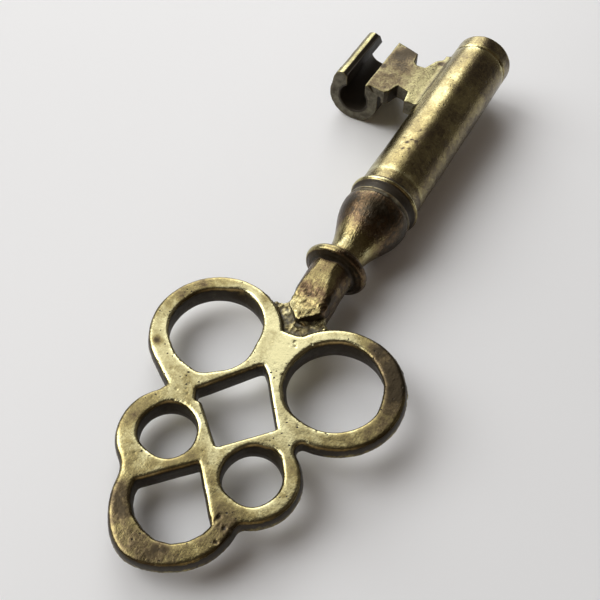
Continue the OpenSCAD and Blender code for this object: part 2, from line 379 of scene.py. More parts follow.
@dataclass(frozen=True)
class Swarm:
    """A cluster of pits on the bow's upper face: its middle, its reach, their count and the deepest."""

    x: float
    y: float
    reach: float
    count: int
    depth: float = 0.09

    def pits(self, level: float) -> list[Pit]:
        """The cluster's pits at a height, always the same ones."""
        chance = random.Random(f"{self.x} {self.y}")
        spread = self.reach / 1.6
        return [Pit(chance.gauss(self.x, spread), chance.gauss(self.y, spread), level,
                    chance.triangular(0.28, 0.6, 0.32), chance.uniform(0.3, 1) * self.depth)
                for _ in range(self.count)]


def pitted(bm: BMesh, pits: Iterable[Pit]) -> None:
    """Presses pits into the surface."""
    bm.normal_update()
    bm.verts.ensure_lookup_table()
    tree = kdtree.KDTree(len(bm.verts))
    for vert in bm.verts:
        tree.insert(vert.co, vert.index)
    tree.balance()
    for pit in pits:
        for _, index, away in tree.find_range((pit.x, pit.y, pit.z), pit.radius):
            vert = bm.verts[index]
            vert.co -= vert.normal * pit.depth * (1 - (away / pit.radius) ** 2) ** 1.5


# The node kinds and settings that recur in the finishes
MATH, VECTOR_MATH = "ShaderNodeMath", "ShaderNodeVectorMath"
NOISE, MAP_RANGE, MIX = "ShaderNodeTexNoise", "ShaderNodeMapRange", "ShaderNodeMix"
MULTIPLY_ADD = {"operation": "MULTIPLY_ADD"}
DOT_PRODUCT = {"operation": "DOT_PRODUCT"}
SMOOTH = {"interpolation_type": "SMOOTHSTEP"}
RGBA = {"data_type": "RGBA"}
# The layers of wear that every piece's mesh carries at its vertices; some pieces also paint highlight and
# shade into them
WORN = ("polish", "crust", "stain")


def linear(code: str) -> tuple[float, float, float, float]:
    """An sRGB colour such as "#d9c37c" as linear light."""
    parts = [int(code[i:i + 2], 16) / 255 for i in (1, 3, 5)]
    return (*(c / 12.92 if c <= 0.04045 else ((c + 0.055) / 1.055) ** 2.4 for c in parts), 1.0)


def per_metre(mm: float) -> float:
    """The pattern scale at which a detail is that many mm across, because patterns read metres."""
    return 1000 / mm


def add_node(tree: bpy.types.NodeTree, kind: str, settings: Settings | None = None,
             feeds: dict[int | str, object] | None = None) -> bpy.types.Node:
    """Adds a node with its settings and its inputs.

    Args:
        tree: the node tree.
        kind: the node's type.
        settings: the node's own settings by name.
        feeds: what goes into its sockets, by name or place: a value, or the socket that it is linked to.

    Returns:
        The node.
    """
    node = tree.nodes.new(kind)
    for name, value in (settings or {}).items():
        setattr(node, name, value)
    for place, value in (feeds or {}).items():
        if isinstance(value, bpy.types.NodeSocket):
            tree.links.new(value, node.inputs[place])
        else:
            node.inputs[place].default_value = value
    return node


def fresh_material(name: str) -> tuple[bpy.types.Material, bpy.types.NodeTree]:
    """An empty node material and its tree."""
    material = bpy.data.materials.new(name)
    material.use_nodes = True
    material.node_tree.nodes.clear()
    return material, material.node_tree


def surface(tree: bpy.types.NodeTree, feeds: dict[int | str, object]) -> None:
    """Ends a material in its shader, fed by socket name, and its output."""
    shader = add_node(tree, "ShaderNodeBsdfPrincipled", None, feeds)
    add_node(tree, "ShaderNodeOutputMaterial", None, {0: shader.outputs[0]})


@dataclass(frozen=True)
class Brass:
    """Old cast brass: yellow where it is rubbed, brown where it has tarnished, black where dirt sits.

    The eye sees broken, cloudy reflections, because rubbed and tarnished patches differ in gloss, and small
    dark casting pits. The piece's own attribute "polish" is 1 where hands and files reach and 0 where they
    don't; on some pieces it also carries painted highlights, and "stain" carries painted shade.
    """

    name: str
    clean: str = "#d0c99b"
    aged: str = "#8f8359"
    brown: str = "#5c503b"
    deep: str = "#41392c"
    grime: str = "#322b1f"
    dust: str = "#858069"
    tarnish: float = 0.45
    patch_mm: float = 8.0
    patchy: float = 1.2
    mottled: float = 0.7
    gloss: float = 0.17
    matt: float = 0.34
    pits: float = 0.3
    grain: float = 0.7
    mottle_mm: float = 0.07
    grain_mm: float = 0.035
    pit_mm: float = 0.08
    streak_mm: float = 0.012
    scratch_turn: float = 0.6

    def build(self) -> bpy.types.Material:
        """Makes the material."""
        material, tree = fresh_material(self.name)
        add = partial(add_node, tree)
        place = add("ShaderNodeTexCoord").outputs["Object"]
        polish, crust, stain = (add("ShaderNodeAttribute", {"attribute_name": name}).outputs["Fac"]
                                for name in WORN)
        # Tarnish comes in patches a finger's rub across, broken up by mottling of one to two millimetres and
        # by a fine grain; pits come in swarms where the metal set last
        patch, mottle, speck, swarm = (
            add(NOISE, None, {"Vector": place, "Scale": per_metre(across), "Detail": detail,
                              "Roughness": broken, "Distortion": warped}).outputs[0]
            for across, detail, broken, warped in ((self.patch_mm, 3.0, 0.55, 0.7), (1.7, 5.0, 0.65, 0.0),
                                                   (0.45, 2.0, 0.6, 0.0), (6.0, 1.5, 0.5, 0.0)))
        stain = add(MATH, MULTIPLY_ADD, {0: stain, 1: mottle, 2: stain}).outputs[0]
        middle = 0.5 * (self.patchy + self.mottled + self.grain)
        dull = add(MATH, MULTIPLY_ADD, {0: patch, 1: self.patchy, 2: self.tarnish + 0.5 - middle}).outputs[0]
        for layer, strength in ((mottle, self.mottled), (speck, self.grain), (stain, 1.0), (polish, -1.0)):
            dull = add(MATH, MULTIPLY_ADD, {0: layer, 1: strength, 2: dull}).outputs[0]
        ramp = add("ShaderNodeValToRGB", None, {0: dull})
        ramp.color_ramp.elements[0].color = linear(self.clean)
        ramp.color_ramp.elements[1].color = linear(self.deep)
        for at, colour in ((0.45, self.aged), (0.8, self.brown)):
            ramp.color_ramp.elements.new(at).color = linear(colour)
        # Casting pits run from a pinprick to half a millimetre across and are ragged
        few = add(MAP_RANGE, None,
                  {0: swarm, 1: 0.4, 2: 0.7, 3: 1.0 - 0.12 * self.pits, 4: 1.0 - self.pits}).outputs[0]
        ragged = add(NOISE, None, {"Vector": place, "Scale": per_metre(0.7)}).outputs["Color"]
        ragged = add(VECTOR_MATH, MULTIPLY_ADD, {0: ragged, 1: (0.5 * MM,) * 3, 2: place}).outputs[0]
        cells = add("ShaderNodeTexVoronoi", None, {"Vector": ragged, "Scale": per_metre(0.8)})
        chance = add("ShaderNodeSeparateColor", None, {0: cells.outputs["Color"]}).outputs[0]
        width = add(MAP_RANGE, None, {0: chance, 1: few, 2: 1.0, 3: 0.001, 4: 0.36}).outputs[0]
        near = add(MATH, {"operation": "DIVIDE"}, {0: cells.outputs["Distance"], 1: width}).outputs[0]
        pit = add(MAP_RANGE, SMOOTH, {0: near, 1: 0.45, 2: 1.0, 3: 1.0, 4: 0.0}).outputs[0]
        # Dirt sits where nothing rubs, with a ragged edge; where a piece lowers its polish to paint shade,
        # this paints that shade too
        dirt_and_shade = add(MATH, MULTIPLY_ADD, {0: mottle, 1: 0.9, 2: 0.05}).outputs[0]
        dirt_and_shade = add(MATH, {"operation": "SUBTRACT"}, {0: dirt_and_shade, 1: polish}).outputs[0]
        dirt_and_shade = add(MAP_RANGE, SMOOTH, {0: dirt_and_shade, 1: 0.05, 2: 0.4, 3: 0.0, 4: 1.0}).outputs[0]
        dirt_and_shade = add(MATH, {"operation": "MAXIMUM"}, {0: dirt_and_shade, 1: pit}).outputs[0]
        colour = add(MIX, RGBA, {0: dirt_and_shade, 6: ramp.outputs[0], 7: linear(self.grime)}).outputs[2]
        # Pale dull crust lies in corners that no cloth reaches, thin enough for the dirt to show through
        crust = add(MATH, {"operation": "MULTIPLY"}, {0: crust, 1: mottle}).outputs[0]
        crust = add(MAP_RANGE, SMOOTH, {0: crust, 1: 0.12, 2: 0.55, 3: 0.0, 4: 0.9}).outputs[0]
        colour = add(MIX, RGBA, {0: crust, 6: colour, 7: linear(self.dust)}).outputs[2]
        metallic = add(MAP_RANGE, None, {0: dirt_and_shade, 3: 1.0, 4: 0.45}).outputs[0]
        metallic = add(MATH, {"operation": "SUBTRACT", "use_clamp": True}, {0: metallic, 1: crust}).outputs[0]
        rough = add(MAP_RANGE, None, {0: dull, 3: self.gloss, 4: self.matt}).outputs[0]
        for layer, duller in ((dirt_and_shade, 0.2), (crust, 0.3)):
            rough = add(MATH, MULTIPLY_ADD, {0: layer, 1: duller, 2: rough}).outputs[0]
        # Filing and handling leave fine streaks a third of a millimetre wide
        turn = add("ShaderNodeMapping", None,
                   {"Vector": place, "Rotation": (0.2, 0.3, self.scratch_turn),
                    "Scale": (per_metre(6), per_metre(0.35), per_metre(0.35))}).outputs[0]
        streak = add(NOISE, None, {"Vector": turn, "Scale": 1.0, "Detail": 2.0}).outputs[0]
        # Heights in mm: mottling, grain, streaks and pits
        height = add(MATH, {"operation": "MULTIPLY"}, {0: mottle, 1: self.mottle_mm}).outputs[0]
        for layer, deep in ((speck, self.grain_mm), (streak, self.streak_mm), (pit, -self.pit_mm)):
            height = add(MATH, MULTIPLY_ADD, {0: layer, 1: deep, 2: height}).outputs[0]
        bump = add("ShaderNodeBump", None, {"Height": height, "Distance": MM}).outputs[0]
        surface(tree, {"Base Color": colour, "Metallic": metallic, "Roughness": rough, "Normal": bump})
        return material


@dataclass(frozen=True)
class Steel:
    """Drawn steel wire, dull from use: grey, with long soft streaks and a little brown staining."""

    name: str
    bright: str = "#b9b7b2"
    stain: str = "#5b4c3e"
    gloss: float = 0.32
    matt: float = 0.6
    grain_mm: float = 0.015

    def build(self) -> bpy.types.Material:
        """Makes the material."""
        material, tree = fresh_material(self.name)
        add = partial(add_node, tree)
        place = add("ShaderNodeTexCoord").outputs["Object"]
        cloud, grain = (
            add(NOISE, None, {"Vector": place, "Scale": per_metre(across), "Detail": detail,
                              "Roughness": broken}).outputs[0]
            for across, detail, broken in ((2.5, 5.0, 0.7), (0.3, 2.0, 0.5)))
        stain = add(MAP_RANGE, SMOOTH, {0: cloud, 1: 0.52, 2: 0.68}).outputs[0]
        colour = add(MIX, RGBA, {0: stain, 6: linear(self.bright), 7: linear(self.stain)}).outputs[2]
        rough = add(MAP_RANGE, None, {0: stain, 3: self.gloss, 4: self.matt}).outputs[0]
        bump = add("ShaderNodeBump", None, {"Height": grain, "Distance": self.grain_mm * MM}).outputs[0]
        surface(tree, {"Base Color": colour, "Metallic": 1.0, "Roughness": rough, "Normal": bump})
        return material


# A piece's wear rule takes its vertices, normals and relief, and says how rubbed, how crusted and how stained
# each vertex is; some rules also paint highlight and shade into these layers
Wear = tuple[np.ndarray | float, np.ndarray | float, np.ndarray | float]
Rule = Callable[[np.ndarray, np.ndarray, np.ndarray], Wear]


def smoothstep(values: np.ndarray, low: float, high: float) -> np.ndarray:
    """0 below low, 1 above high and a smooth rise between."""
    share = np.clip((values - low) / (high - low), 0, 1)
    return share * share * (3 - 2 * share)


def relief(mesh: bpy.types.Mesh, co: np.ndarray, no: np.ndarray) -> np.ndarray:
    """How far each vertex stands proud of its smoothed neighbourhood: above 0 on edges, below 0 in hollows.

    Args:
        mesh: the mesh.
        co: its vertices.
        no: its normals.

    Returns:
        The height of each vertex in the mesh's own unit.
    """
    ends = np.empty(2 * len(mesh.edges), dtype=np.int32)
    mesh.edges.foreach_get("vertices", ends)
    a, b = ends[::2], ends[1::2]
    count = np.bincount(a, minlength=len(co)) + np.bincount(b, minlength=len(co))
    flat = co.copy()
    for _ in range(RELIEF_ROUNDS):
        flat = np.stack([(np.bincount(a, flat[b, i], len(co)) + np.bincount(b, flat[a, i], len(co))) / count
                         for i in range(3)], axis=1)
    return ((co - flat) * no).sum(axis=1)


@dataclass(frozen=True)
class Stain:
    """A place more tarnished, or more rubbed, than the rest: its middle, its reach and its strength."""

    x: float
    y: float
    reach: float
    strength: float

    def near(self, co: np.ndarray) -> np.ndarray:
        """How strong it is at each vertex."""
        return self.strength * np.exp(-((co[:, 0] - self.x) ** 2 + (co[:, 1] - self.y) ** 2) / self.reach**2)


@dataclass
class Piece:
    """One finished piece: its mesh in the key's millimetres, and what it stands for."""

    name: str
    node: str
    body: Body
    slot: str
    finish: Brass | Steel
    wear: Rule
    crisp: bool = False

    def settle(self, bm: BMesh) -> bpy.types.Object:
        """Makes the object in the frame, dresses it and joins it to its body.

        Args:
            bm: the finished mesh; it is freed.

        Returns:
            The object.
        """
        bmesh.ops.remove_doubles(bm, verts=bm.verts, dist=1e-5)
        bmesh.ops.recalc_face_normals(bm, faces=bm.faces)
        mesh = mesh_of(bm, self.name)
        mesh.shade_smooth()
        if self.crisp:
            mesh.set_sharp_from_angle(angle=math.radians(SHARP_CORNER))
        co = np.empty(3 * len(mesh.vertices), dtype=np.float32)
        no = np.empty_like(co)
        mesh.vertices.foreach_get("co", co)
        mesh.vertices.foreach_get("normal", no)
        co, no = co.reshape(-1, 3).astype(float), no.reshape(-1, 3).astype(float)
        for name, values in zip(WORN, self.wear(co, no, relief(mesh, co, no))):
            values = np.clip(values * np.ones(len(co)), 0, 1).astype(np.float32)
            mesh.attributes.new(name, "FLOAT", "POINT").data.foreach_set("value", values)
        mesh.transform(TO_FRAME)
        piece = linked(self.name, mesh)
        mesh.materials.append(self.finish.build())
        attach(piece, self.body.value)
        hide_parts(self.node)
        mesh.calc_loop_triangles()
        LOG.info("%s: %d triangles, riding on %s", self.name, len(mesh.loop_triangles), self.body.value)
        return piece


@dataclass
class Bow:
    """The pierced plate: four rings and an end lobe, cast flat and filed on its faces."""

    half_t: float = 2.2
    ring_y: float = 13.9
    ring_r: float = 13.6
    ring_hole_r: float = 9.8
    small_back: float = 24.0
    small_y: float = 9.35
    small_r: float = 9.0
    small_left_r: float = 9.5
    small_hole_r: float = 5.6
    small_left_hole_r: float = 5.5
    lobe_back: float = 34.5
    lobe_r: float = 11.9
    lobe_swell: Swell = Swell(168, 0.9, 26)
    notch_left: Point = (-15.3, 15.1)
    waist_left: float = 6.0
    waist_right: float = 2.0
    notch_right: float = 1.5
    web_half_t: float = 1.2
    tang_r: float = 2.0
    tang_x: float = 16.0
    tang_l: float = 12.0
    outline_points: int = 900
    hole_points: int = 160
    voxel: float = 0.26
    # Height and how far out; the side is widest at mid-thickness, where the two halves of the mould met
    side_profile: tuple[Point, ...] = (
        (2.2, -0.7), (2.1, -0.3), (1.8, 0.0), (1.3, 0.2), (0.25, 0.4), (0.0, 0.5), (-0.25, 0.3), (-1.5, -0.3),
        (-2.0, -0.7), (-2.2, -1.15))
    # Height, how far out, and how much rounder than its worn upper edge each hole is there
    hole_profile: tuple[tuple[float, float, float], ...] = (
        (2.2, 0.7, 0.0), (2.02, 0.28, 0.0), (1.65, 0.02, 0.05), (0.9, -0.05, 0.5), (0.0, -0.08, 1.0),
        (-1.0, 0.0, 1.0), (-1.8, 0.1, 1.0), (-2.2, 0.4, 1.0))
    left_swells: tuple[Swell, ...] = (Swell(0, 0.9, 15), Swell(340, 0.6), Swell(278, -1.0, 25),
                                      Swell(195, 0.55, 12), Swell(140, -0.6, 25), Swell(45, 0.3))
    right_swells: tuple[Swell, ...] = (Swell(15, 0.45), Swell(50, 0.4), Swell(110, 0.5), Swell(140, 0.5),
                                       Swell(235, -0.5, 40), Swell(285, -0.7), Swell(320, -0.5))
    small_left_swells: tuple[Swell, ...] = (Swell(30, 0.55), Swell(0, 0.4), Swell(172, -0.6, 35),
                                            Swell(325, 0.2))
    small_right_swells: tuple[Swell, ...] = (Swell(345, 0.95), Swell(25, 0.45), Swell(170, -0.5, 28))
    diamond: tuple[Point, ...] = (
        (-2.89, 0.75), (-3.15, 1.39), (-13.69, 9.42), (-15.51, 8.36), (-15.43, 7.15), (-21.9, -0.4),
        (-13.4, -8.3), (-13.1, -8.0), (-4.29, -0.84))
    d_shape: tuple[Point, ...] = (
        (-26.52, 0.44), (-34.96, 8.52), (-36.42, 8.25), (-38.25, 7.3), (-40.21, 5.27), (-41.57, 2.32),
        (-42.08, -0.73), (-41.35, -3.65), (-39.58, -5.81), (-37.25, -7.27), (-35.25, -7.83))
    # The part of the plate between the rings, where the diamond and the D are cut
    between_x: Point = (-42.3, -2.5)
    between_y: float = 9.6
    finish: Brass = Brass("cast_brass_filed", tarnish=0.42, pits=0.6, patchy=1.3, mottled=0.5, grain=0.4,
                          mottle_mm=0.06, gloss=0.15, matt=0.3)
    swarms: tuple[Swarm, ...] = (
        Swarm(-16, 10.5, 3.2, 12), Swarm(-1, -1, 2.6, 7), Swarm(4.8, -2, 0.8, 5, 0.22),
        Swarm(-24.4, -0.5, 2.2, 8), Swarm(-34.5, -9.5, 1.8, 14, 0.2), Swarm(-9, 17, 3.5, 4),
        Swarm(-20, 14.5, 3.0, 5), Swarm(-28, 5, 2.5, 4), Swarm(7.6, 0.6, 1.0, 12, 0.18),
        Swarm(-12, -13, 4.0, 4), Swarm(-42, 4, 4.0, 4), Swarm(9, -20, 6.0, 4), Swarm(0, 25.5, 6.0, 4),
        Swarm(-30, 12, 4.0, 4))
    stains: tuple[Stain, ...] = (
        Stain(10, -19.5, 6, 0.5), Stain(6, -25.5, 4, 0.35), Stain(4, 24.5, 3, 0.25), Stain(9, 22, 4, 0.2),
        Stain(-40, 8, 6, 0.3), Stain(-44, -2, 7, 0.35), Stain(-8, 22.8, 0.9, 0.55), Stain(-24, 15, 6, 0.15),
        Stain(-33, -10, 5, 0.25), Stain(-2, -25, 4, 0.2))
    # Patches painted brighter and cleaner: rubbing, and a painted highlight where the faces reflect the
    # window most
    rubbed_and_highlit: tuple[Stain, ...] = (Stain(3, 0, 9, 0.3), Stain(5, -9, 7, 0.15), Stain(-12, 22, 7, 0.15))

    def outline(self) -> Loop:
        """The bow's outline, anticlockwise from the crotch where the stem joins."""
        left, right = (0.0, self.ring_y), (0.0, -self.ring_y)
        small_left, small_right = (-self.small_back, self.small_y), (-self.small_back, -self.small_y)
        lobe = (-self.lobe_back, 0.0)
        # The left notch is a sharp V, filed straight on both sides
        loop = arc(left, self.ring_r, -61.6, 148) + [self.notch_left]
        at = fillet_centre(small_left, self.small_left_r, lobe, self.lobe_r, self.waist_left)
        loop += arc(small_left, self.small_left_r, 44, bearing(small_left, at) % 360)
        loop += self.hollow(at, self.waist_left, small_left, lobe)
        start = bearing(lobe, at) % 360
        at = fillet_centre(lobe, self.lobe_r, small_right, self.small_r, self.waist_right)
        # The end lobe bulges a little at its far end
        for point in arc(lobe, self.lobe_r, start, bearing(lobe, at) % 360):
            turn = bearing(lobe, point) % 360
            loop.append(polar(lobe, self.lobe_r + self.lobe_swell.at(turn), turn))
        loop += self.hollow(at, self.waist_right, lobe, small_right)
        start = bearing(small_right, at) % 360
        at = fillet_centre(small_right, self.small_r, right, self.ring_r, self.notch_right)
        loop += arc(small_right, self.small_r, start, bearing(small_right, at) % 360)
        loop += self.hollow(at, self.notch_right, small_right, right)
        start = bearing(right, at) % 360
        loop += arc(right, self.ring_r, start, 360 + 57) + [(6.72, -1.15)]
        return loop

    @staticmethod
    def hollow(at: Point, radius: float, a: Point, b: Point) -> Loop:
        """The points of a fillet between two circles, clockwise, without its ends."""
        start, end = bearing(at, a) % 360, bearing(at, b) % 360
        return arc(at, radius, start, end - 360 if end > start else end, 0.4)[1:-1]

    def holes(self) -> list[tuple[Loop, Loop]]:
        """Each hole's upper and lower edge, anticlockwise."""
        rings = (((0.0, self.ring_y), self.ring_hole_r, self.left_swells),
                 ((0.0, -self.ring_y), self.ring_hole_r, self.right_swells),
                 ((-self.small_back, self.small_y), self.small_left_hole_r, self.small_left_swells),
                 ((-self.small_back, -self.small_y), self.small_hole_r, self.small_right_swells))
        holes = [(worn_round(centre, radius, swells, self.hole_points),
                  worn_round(centre, radius, (), self.hole_points)) for centre, radius, swells in rings]
        for loop in (self.diamond, self.d_shape):
            even = evenly(list(loop), self.hole_points)
            holes.append((even, even))
        return holes

    def build(self) -> BMesh:
        """Makes the plate, its web and its tang as one skin."""
        bm = bmesh.new()
        outline = evenly(self.outline(), self.outline_points)
        rims = [wall(bm, [(z, grown(outline, by)) for z, by in self.side_profile])]
        for upper, lower in self.holes():
            rims.append(wall(bm, [(z, grown(between(upper, lower, share), by))
                                  for z, by, share in self.hole_profile]))
        for end, up in enumerate((1, -1)):
            edges = [edge for rim in rims for edge in rim[end]]
            bmesh.ops.triangle_fill(bm, use_beauty=True, use_dissolve=False, edges=edges, normal=(0, 0, up))
        right, left = (14.0, -6.2), (15.2, 6.8)
        web = [(4.0, 1.5), (4.0, -1.5), (9.6, -5.6), *arc(right, 2.2, 200, 90, 0.4),
               *arc(left, 2.3, 270, 165, 0.4), (10.6, 7.2), (9.6, 5.6)]
        slab(bm, web, -self.web_half_t, self.web_half_t)
        along_x = Matrix.Translation((self.tang_x, 0, 0)) @ Matrix.Rotation(math.pi / 2, 4, "Y")
        bmesh.ops.create_cone(bm, cap_ends=True, segments=32, radius1=self.tang_r, radius2=self.tang_r,
                              depth=self.tang_l, matrix=along_x)
        bm = fused(bm, self.voxel)
        eased(bm, 2)
        rippled(bm, (Ripple(13, 0.16, 3), Ripple(4.2, 0.07, 9), Ripple(1.3, 0.025, 5)))
        # The web was never filed, so it keeps the coarse skin of the mould
        rippled(bm, (Ripple(1.3, 0.22, 2), Ripple(0.6, 0.2, 6)), self.on_web)
        pitted(bm, [pit for swarm in self.swarms for pit in swarm.pits(self.half_t)])
        return bm

    def on_web(self, co: Vector) -> bool:
        """Whether a point lies on the sunken web in the crotch between the rings."""
        beyond = math.hypot(co.x, abs(co.y) - self.ring_y) - self.ring_r
        return co.x > 4 and abs(co.z) < self.web_half_t + 0.25 and beyond > 0.2

    def wear(self, co: np.ndarray, no: np.ndarray, rise: np.ndarray) -> Wear:
        """Bright on the filed faces and worn rims, dark in the holes, on the sides and in the crotch."""
        face = smoothstep(np.abs(no[:, 2]), 0.45, 0.9)
        edge = smoothstep(np.abs(no[:, 2]), 0.15, 0.6)
        web = np.array([self.on_web(Vector(point)) for point in co])
        outer = self.outer(co, no)
        # Fingers rub the holes' rims; the outer rim is duller
        rims = (1.4 - 1.1 * outer) * edge * np.maximum(rise, 0)
        polish = 0.03 + 0.55 * face + rims + 4.0 * np.minimum(rise + 0.05, 0)
        # Painted highlight as well as rubbing: the listed patches make the faces lighter and cleaner
        polish += face * sum(place.near(co) for place in self.rubbed_and_highlit)
        # The moulded side's widest line is rubbed a little by whatever the key lies on
        polish += 0.34 * (1 - face) * np.exp(-((co[:, 2] / 0.8) ** 2)) * outer
        stain = sum(place.near(co) for place in self.stains) * face
        return np.where(web, 0.4 + 1.2 * rise, polish), np.where(web, 0.5, 0.3 * (1 - face)), stain

    def outer(self, co: np.ndarray, no: np.ndarray) -> np.ndarray:
        """Where the surface faces away from the nearest ring's middle, as only the outer side does."""
        middles = np.array([(0.0, self.ring_y), (0.0, -self.ring_y), (-self.small_back, self.small_y),
                            (-self.small_back, -self.small_y), (-self.lobe_back, 0.0)])
        offs = co[:, None, :2] - middles[None]
        nearest = offs[np.arange(len(co)), np.linalg.norm(offs, axis=2).argmin(axis=1)]
        # The walls of the diamond and the D face away from the middles too, but aren't on the outer side
        low, high = self.between_x
        between_rings = (co[:, 0] > low) & (co[:, 0] < high) & (np.abs(co[:, 1]) < self.between_y)
        return ((nearest * no[:, :2]).sum(axis=1) > 0) & ~between_rings

    def make(self) -> list[bpy.types.Object]:
        """Builds and dresses the bow."""
        piece = Piece("Bow_plate", "bow", Body.HANDLE, "bow_brass", self.finish, self.wear)
        return [piece.settle(self.build())]


@dataclass
class Shank:
    """The turned stem with its filed flat, the collar and the baluster, up to the shoulder."""

    stem_r_bow: float = 4.2
    stem_r_collar: float = 4.95
    tip_x: float = 8.7
    end_reach: float = 16.4
    ring_y: float = 13.9
    flat_h_bow: float = 3.0
    flat_h_collar: float = 4.65
    flat_lean_bow: float = 1.0
    flat_lean_collar: float = 11.0
    blunt_x: float = 9.9
    bend_y: float = 0.8
    bend_x: float = 22.5
    bend_reach: float = 8.5
    collar_x: float = 27.05
    collar_r: float = 7.25
    collar_w: float = 2.9
    neck_r: float = 4.1
    baluster_r: float = 8.0
    baluster_x: float = 44.6
    shoulder_x: float = 46.5
    shoulder_r: float = 7.85
    stub_r: float = 4.0
    stub_l: float = 9.0
    collar_rim: Point = (1.05, 0.8)
    baluster_steps: int = 24
    # The end face is cut to the rings this far along the stem, and the cast roughness fades out here
    cut_x: float = 18.0
    rough_x: float = 19.5
    rough_fade: float = 4.5
    # How softly the file left the round of the stem
    flat_corner: float = 0.15
    finish: Brass = Brass("turned_brass_tarnished", brown="#614f3b", tarnish=0.62, pits=0.3, grain=0.55,
                          mottled=0.5, mottle_mm=0.08, streak_mm=0.07, scratch_turn=-0.95, gloss=0.16,
                          matt=0.3)

    def outline(self) -> list[Point]:
        """The shank's outline along the axis, from the stem's tip to the bottom of the spigot's seat."""
        half_w = self.collar_w / 2
        stem_end = self.collar_x - half_w
        neck_x = self.collar_x + half_w + 1.6
        collar_end = self.collar_x + half_w
        x, r = self.tip_x, self.stem_r_bow
        points = [(x, 0.0), (x, r - 0.5), (x + 0.15, r - 0.15), (x + 0.5, r)]
        x, r = stem_end, self.stem_r_collar
        points += [(x - 0.6, r), (x - 0.15, r + 0.15), (x, r + 0.5), (x + 0.03, self.collar_r - 1.5)]
        # The collar is a disc with a nearly flat front and a rim that is worn round
        points += oval((self.collar_x, self.collar_r - self.collar_rim[1]), self.collar_rim, 180, 0, 12)
        points += [(collar_end - 0.1, self.collar_r - 1.6), (collar_end + 0.4, self.neck_r + 1.2),
                   (collar_end + 1.0, self.neck_r + 0.5)]
        for i in range(self.baluster_steps + 1):
            x = neck_x + (self.baluster_x - neck_x) * i / self.baluster_steps
            wave = (1 - math.cos(math.pi * i / self.baluster_steps)) / 2
            points.append((x, self.neck_r + (self.baluster_r - self.neck_r) * wave))
        x, r = self.shoulder_x, self.shoulder_r
        points += [(self.baluster_x + 0.5, self.baluster_r - 0.08), (x - 0.85, r - 0.3), (x - 0.6, r - 0.25),
                   (x - 0.4, r), (x - 0.1, r), (x, r - 0.1), (x, self.stub_r), (x - self.stub_l, self.stub_r),
                   (x - self.stub_l, 0.0)]
        return points

    def end_at(self, y: float) -> float:
        """How far along X the stem's end face lies: round the left ring, and straight towards the right."""
        ring = math.sqrt(self.end_reach**2 - (self.ring_y - min(abs(y), 5)) ** 2)
        return max(ring, self.blunt_x) if y > 0 else self.blunt_x - y

    def squared(self, vert: BMVert, share: float) -> None:
        """Gives the stem a squarer section towards the bow.

        Args:
            vert: a vertex of the round stem.
            share: how far along the stem it lies, 0 at the bow and 1 at the collar.
        """
        away = math.hypot(vert.co.y, vert.co.z)
        if away < 1e-6:
            return
        fade = (1 - min(max(share / 0.85, 0), 1)) ** 1.2
        power = 2 + 2.6 * fade
        half_w = 1 - 0.02 * fade
        half_h = 1 - 0.1 * fade
        across = abs(vert.co.y / away / half_w) ** power
        upward = abs(vert.co.z / away / half_h) ** power
        reach = (across + upward) ** (-1 / power)
        vert.co.y *= reach
        vert.co.z *= reach

    def bend(self, x: np.ndarray | float) -> np.ndarray | float:
        """How far the old key's stem and collar have been bent towards +Y, at a place along the axis."""
        return self.bend_y * np.exp(-((x - self.bend_x) / self.bend_reach) ** 2)

    def build(self) -> BMesh:
        """Turns the shank, cuts its end face to the rings, files its flat and bends it a little."""
        bm = turned(self.outline(), 0.28)
        stem_end = self.collar_x - self.collar_w / 2
        soft = self.flat_corner
        for vert in bm.verts:
            if vert.co.x < self.cut_x:
                fade = (self.cut_x - vert.co.x) / (self.cut_x - self.tip_x)
                vert.co.x += (self.end_at(vert.co.y) - self.tip_x) * fade
            if vert.co.x < stem_end - 0.1:
                share = (vert.co.x - self.tip_x) / (stem_end - self.tip_x)
                self.squared(vert, share)
                # The file went deeper and lay flatter towards the bow
                rise = share * share * (3 - 2 * share)
                lean = math.radians(self.flat_lean_bow + (self.flat_lean_collar - self.flat_lean_bow) * share)
                level = self.flat_h_bow + (self.flat_h_collar - self.flat_h_bow) * rise - self.dip(share)
                high = vert.co.z * math.cos(lean) + vert.co.y * math.sin(lean)
                if high > level - soft:
                    low = level - soft * math.exp(-(high - level + soft) / soft)
                    vert.co.z -= (high - low) * math.cos(lean)
                    vert.co.y -= (high - low) * math.sin(lean)
            vert.co.y += self.bend(vert.co.x)
        rippled(bm, (Ripple(9, 0.12, 2), Ripple(3.1, 0.07, 7)))
        # The flat's lower half was left as the hammer and the mould made it
        rippled(bm, (Ripple(2.6, 0.26, 4), Ripple(1.2, 0.2, 8), Ripple(0.6, 0.08, 1)), self.rough)
        return bm

    def dip(self, share: float) -> float:
        """How deep the flat is worn between the bow and the collar."""
        return 0.16 * math.exp(-(((share - 0.5) / 0.16) ** 2))

    def rough(self, co: Vector) -> float:
        """How much of its cast roughness the stem keeps: most by the bow, none on its end face."""
        along = min(max((self.rough_x - co.x) / self.rough_fade, 0), 1)
        clear = min(max((co.x - self.end_at(co.y)) / 0.7, 0), 1)
        return along * clear * (1.0 if co.z > 0 else 0.4)

    def wear(self, co: np.ndarray, no: np.ndarray, rise: np.ndarray) -> Wear:
        """Bright on the filed flat, brown elsewhere, dark beside the collar; painted highlights on the
        collar's rim towards the bit and on the baluster's neck, and painted shade on the rim's other side and
        on the stem's end face.
        """
        flat = smoothstep(no[:, 2], 0.7, 0.97) * (co[:, 0] < self.collar_x - 1.5)
        away = np.hypot(co[:, 1] - self.bend(co[:, 0]), co[:, 2])
        on_collar = np.abs(co[:, 0] - self.collar_x) < 1.7
        rim = smoothstep(away, self.collar_r - 0.7, self.collar_r - 0.1) * on_collar
        sides = smoothstep(np.abs(no[:, 0]), 0.7, 0.95)
